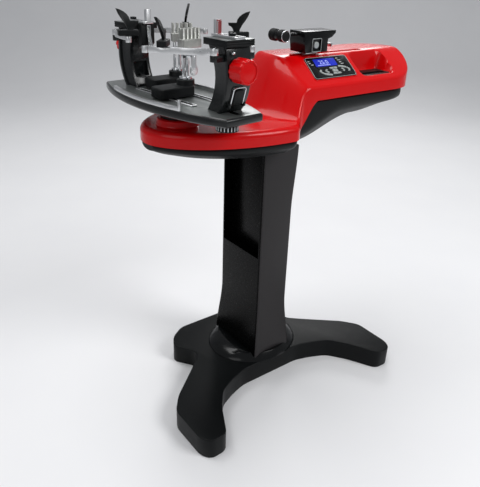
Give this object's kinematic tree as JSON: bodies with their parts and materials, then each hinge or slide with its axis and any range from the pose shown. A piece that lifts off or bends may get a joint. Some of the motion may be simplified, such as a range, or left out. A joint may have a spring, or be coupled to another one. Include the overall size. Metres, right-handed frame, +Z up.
{
  "type": "racket stringing machine",
  "caption": "Floor-standing racket stringing machine with a moulded housing, console, sliding string puller, and a turntable with frame towers, side arms and string clamps.",
  "frame": {"origin": "on the floor under the middle of the whole machine", "axes": "+Z up, +X from the turntable to the rear end of the housing, -Y towards the operator"},
  "size_m": [0.9598, 0.5612, 1.1088],
  "materials": {
    "red_gloss": "gloss",
    "black_gloss": "gloss",
    "black_satin": "satin",
    "foot_grey": "satin",
    "column_grey": "satin",
    "alloy": "satin",
    "key_silver": "satin",
    "lcd_blue": "gloss",
    "table_black": "gloss"
  },
  "bodies": {
    "stand": {"foot_plate": "foot_grey", "foot_collar": "black_satin", "column_shell": "column_grey", "column_panel": "black_gloss", "lower_housing": "black_satin", "top_cover": "red_gloss", "console_panel": "black_gloss", "display_window": "lcd_blue", "mains_inlet": "black_satin", "turntable_bearing": "black_satin"},
    "mains_switch": {"mains_switch": "black_satin"},
    "key_start": {"key_start": "key_silver"},
    "key_up": {"key_up": "key_silver"},
    "key_left": {"key_left": "key_silver"},
    "key_down": {"key_down": "key_silver"},
    "key_right": {"key_right": "key_silver"},
    "key_minus": {"key_minus": "key_silver"},
    "key_plus": {"key_plus": "key_silver"},
    "puller": {"pull_carriage": "alloy", "pull_head": "table_black"},
    "grip_spool": {"grip_spool": "black_satin"},
    "grip_button": {"grip_button": "key_silver"},
    "grip_lever": {"grip_lever": "alloy"},
    "turntable": {"turntable_plate": "table_black", "side_rail_left": "alloy", "side_rail_right": "alloy"},
    "tower_far": {"tower_far": "table_black", "tower_head_far": "table_black", "slider_screw_far": "black_satin", "throat_block": "black_satin"},
    "spread_knob_far": {"spread_knob_far": "red_gloss"},
    "slide_lock_far": {"slide_lock_far": "black_satin"},
    "lock_lever_far": {"lock_lever_far": "black_satin"},
    "frame_slider_far": {"frame_slider_far": "alloy"},
    "arm_far_a": {"arm_far_a": "alloy"},
    "arm_support_far_a": {"arm_support_far_a": "black_satin"},
    "arm_far_b": {"arm_far_b": "alloy"},
    "arm_support_far_b": {"arm_support_far_b": "black_satin"},
    "tower_near": {"tower_near": "table_black", "tower_head_near": "table_black", "slider_screw_near": "black_satin"},
    "spread_knob_near": {"spread_knob_near": "red_gloss"},
    "slide_lock_near": {"slide_lock_near": "black_satin"},
    "lock_lever_near": {"lock_lever_near": "black_satin"},
    "frame_slider_near": {"frame_slider_near": "alloy"},
    "arm_near_a": {"arm_near_a": "alloy"},
    "arm_support_near_a": {"arm_support_near_a": "black_satin"},
    "arm_near_b": {"arm_near_b": "alloy"},
    "arm_support_near_b": {"arm_support_near_b": "black_satin"},
    "throat_lever": {"throat_lever": "alloy"},
    "clamp_base_left": {"clamp_base_left": "black_satin"},
    "clamp_left": {"clamp_post_left": "alloy", "clamp_head_left": "alloy"},
    "clamp_lever_left": {"clamp_lever_left": "alloy"},
    "clamp_base_right": {"clamp_base_right": "black_satin"},
    "clamp_right": {"clamp_post_right": "alloy", "clamp_head_right": "alloy"},
    "clamp_lever_right": {"clamp_lever_right": "alloy"}
  },
  "joints": [
    {"name": "mains_switch_rock", "type": "hinge", "parent": "stand", "child": "mains_switch", "pos_m": [0.30813, 0.14289, 0.858], "axis": [0, 0, 1], "range_deg": [-6, 6]},
    {"name": "key_start_press", "type": "slide", "parent": "stand", "child": "key_start", "axis": [0, 0.5269, -0.8499], "range_m": [0, 0.0012], "stiffness_N_per_m": 300, "springref_m": -0.0005},
    {"name": "key_up_press", "type": "slide", "parent": "stand", "child": "key_up", "axis": [0, 0.5269, -0.8499], "range_m": [0, 0.0012], "stiffness_N_per_m": 300, "springref_m": -0.0005},
    {"name": "key_left_press", "type": "slide", "parent": "stand", "child": "key_left", "axis": [0, 0.5269, -0.8499], "range_m": [0, 0.0012], "stiffness_N_per_m": 300, "springref_m": -0.0005},
    {"name": "key_down_press", "type": "slide", "parent": "stand", "child": "key_down", "axis": [0, 0.5269, -0.8499], "range_m": [0, 0.0012], "stiffness_N_per_m": 300, "springref_m": -0.0005},
    {"name": "key_right_press", "type": "slide", "parent": "stand", "child": "key_right", "axis": [0, 0.5269, -0.8499], "range_m": [0, 0.0012], "stiffness_N_per_m": 300, "springref_m": -0.0005},
    {"name": "key_minus_press", "type": "slide", "parent": "stand", "child": "key_minus", "axis": [0, 0.5269, -0.8499], "range_m": [0, 0.0012], "stiffness_N_per_m": 300, "springref_m": -0.0005},
    {"name": "key_plus_press", "type": "slide", "parent": "stand", "child": "key_plus", "axis": [0, 0.5269, -0.8499], "range_m": [0, 0.0012], "stiffness_N_per_m": 300, "springref_m": -0.0005},
    {"name": "puller_travel", "type": "slide", "parent": "stand", "child": "puller", "axis": [1, 0, 0], "range_m": [-0.049, 0.189]},
    {"name": "grip_spool_turn", "type": "hinge", "parent": "puller", "child": "grip_spool", "pos_m": [-0.00787, 0.03089, 1.03703], "axis": [0, 1, 0], "continuous": true},
    {"name": "grip_button_press", "type": "slide", "parent": "puller", "child": "grip_button", "axis": [0, 1, 0], "range_m": [0, 0.0025], "stiffness_N_per_m": 400, "springref_m": -0.001},
    {"name": "grip_lever_lift", "type": "hinge", "parent": "puller", "child": "grip_lever", "pos_m": [0.15343, 0.03089, 1.00903], "axis": [0, -1, 0], "range_deg": [0, 50]},
    {"name": "turntable_turn", "type": "hinge", "parent": "stand", "child": "turntable", "pos_m": [-0.33187, 0.02489, 0.912], "axis": [0, 0, 1], "continuous": true},
    {"name": "tower_far_slide", "type": "slide", "parent": "turntable", "child": "tower_far", "axis": [-0.0872, 0.9962, 0], "range_m": [-0.012, 0.045]},
    {"name": "spread_knob_far_turn", "type": "hinge", "parent": "tower_far", "child": "spread_knob_far", "pos_m": [-0.34221, 0.23479, 1.007], "axis": [-0.0872, 0.9962, 0], "continuous": true},
    {"name": "slide_lock_far_turn", "type": "hinge", "parent": "tower_far", "child": "slide_lock_far", "pos_m": [-0.34687, 0.19624, 0.912], "axis": [0, 0, 1], "continuous": true},
    {"name": "lock_lever_far_tilt", "type": "hinge", "parent": "tower_far", "child": "lock_lever_far", "pos_m": [-0.34945, 0.22573, 0.931], "axis": [-0.9962, -0.0872, 0], "range_deg": [0, 70]},
    {"name": "frame_slider_far_slide", "type": "slide", "parent": "tower_far", "child": "frame_slider_far", "axis": [-0.0872, 0.9962, 0], "range_m": [0, 0.024]},
    {"name": "arm_far_a_swing", "type": "hinge", "parent": "tower_far", "child": "arm_far_a", "pos_m": [-0.3979, 0.20583, 1.037], "axis": [0, 0, -1], "range_deg": [-4, 30]},
    {"name": "arm_support_far_a_turn", "type": "hinge", "parent": "arm_far_a", "child": "arm_support_far_a", "pos_m": [-0.42825, 0.07675, 1.05], "axis": [0, 0, 1], "range_deg": [-20, 20]},
    {"name": "arm_far_b_swing", "type": "hinge", "parent": "tower_far", "child": "arm_far_b", "pos_m": [-0.29828, 0.21454, 1.037], "axis": [0, 0, 1], "range_deg": [-3, 20]},
    {"name": "arm_support_far_b_turn", "type": "hinge", "parent": "arm_far_b", "child": "arm_support_far_b", "pos_m": [-0.2183, 0.16583, 1.05], "axis": [0, 0, 1], "range_deg": [-20, 20]},
    {"name": "tower_near_slide", "type": "slide", "parent": "turntable", "child": "tower_near", "axis": [0.0872, -0.9962, 0], "range_m": [-0.03, 0.03]},
    {"name": "spread_knob_near_turn", "type": "hinge", "parent": "tower_near", "child": "spread_knob_near", "pos_m": [-0.3198, -0.20493, 1.007], "axis": [0.0872, -0.9962, 0], "continuous": true},
    {"name": "slide_lock_near_turn", "type": "hinge", "parent": "tower_near", "child": "slide_lock_near", "pos_m": [-0.31514, -0.16638, 0.912], "axis": [0, 0, 1], "continuous": true},
    {"name": "lock_lever_near_tilt", "type": "hinge", "parent": "tower_near", "child": "lock_lever_near", "pos_m": [-0.31256, -0.19586, 0.931], "axis": [0.9962, 0.0872, 0], "range_deg": [0, 70]},
    {"name": "frame_slider_near_slide", "type": "slide", "parent": "tower_near", "child": "frame_slider_near", "axis": [0.0872, -0.9962, 0], "range_m": [-0.018, 0.02]},
    {"name": "arm_near_a_swing", "type": "hinge", "parent": "tower_near", "child": "arm_near_a", "pos_m": [-0.26411, -0.17596, 1.037], "axis": [0, 0, -1], "range_deg": [-8, 25]},
    {"name": "arm_support_near_a_turn", "type": "hinge", "parent": "arm_near_a", "child": "arm_support_near_a", "pos_m": [-0.20458, -0.05232, 1.05], "axis": [0, 0, 1], "range_deg": [-20, 20]},
    {"name": "arm_near_b_swing", "type": "hinge", "parent": "tower_near", "child": "arm_near_b", "pos_m": [-0.36373, -0.18468, 1.037], "axis": [0, 0, 1], "range_deg": [-12, 20]},
    {"name": "arm_support_near_b_turn", "type": "hinge", "parent": "arm_near_b", "child": "arm_support_near_b", "pos_m": [-0.44222, -0.1115, 1.05], "axis": [0, 0, 1], "range_deg": [-20, 20]},
    {"name": "throat_lever_tilt", "type": "hinge", "parent": "tower_far", "child": "throat_lever", "pos_m": [-0.34189, 0.13936, 1.0643], "axis": [-0.9962, -0.0872, 0], "range_deg": [0, 50]},
    {"name": "clamp_base_left_slide", "type": "slide", "parent": "turntable", "child": "clamp_base_left", "axis": [-0.0872, 0.9962, 0], "range_m": [-0.06, 0.03]},
    {"name": "clamp_left_turn", "type": "hinge", "parent": "clamp_base_left", "child": "clamp_left", "pos_m": [-0.3129, 0.01451, 0.9513], "axis": [0, 0, 1], "continuous": true},
    {"name": "clamp_lever_left_swing", "type": "hinge", "parent": "clamp_left", "child": "clamp_lever_left", "pos_m": [-0.29198, 0.01634, 1.007], "axis": [0.0872, -0.9962, 0], "range_deg": [-25, 75]},
    {"name": "clamp_base_right_slide", "type": "slide", "parent": "turntable", "child": "clamp_base_right", "axis": [-0.0872, 0.9962, 0], "range_m": [-0.048, 0.002]},
    {"name": "clamp_right_turn", "type": "hinge", "parent": "clamp_base_right", "child": "clamp_right", "pos_m": [-0.27033, 0.12464, 0.9513], "axis": [0, 0, 1], "range_deg": [-150, 12]},
    {"name": "clamp_lever_right_swing", "type": "hinge", "parent": "clamp_right", "child": "clamp_lever_right", "pos_m": [-0.2506, 0.11745, 1.007], "axis": [-0.342, -0.9397, 0], "range_deg": [-25, 75]}
  ]
}
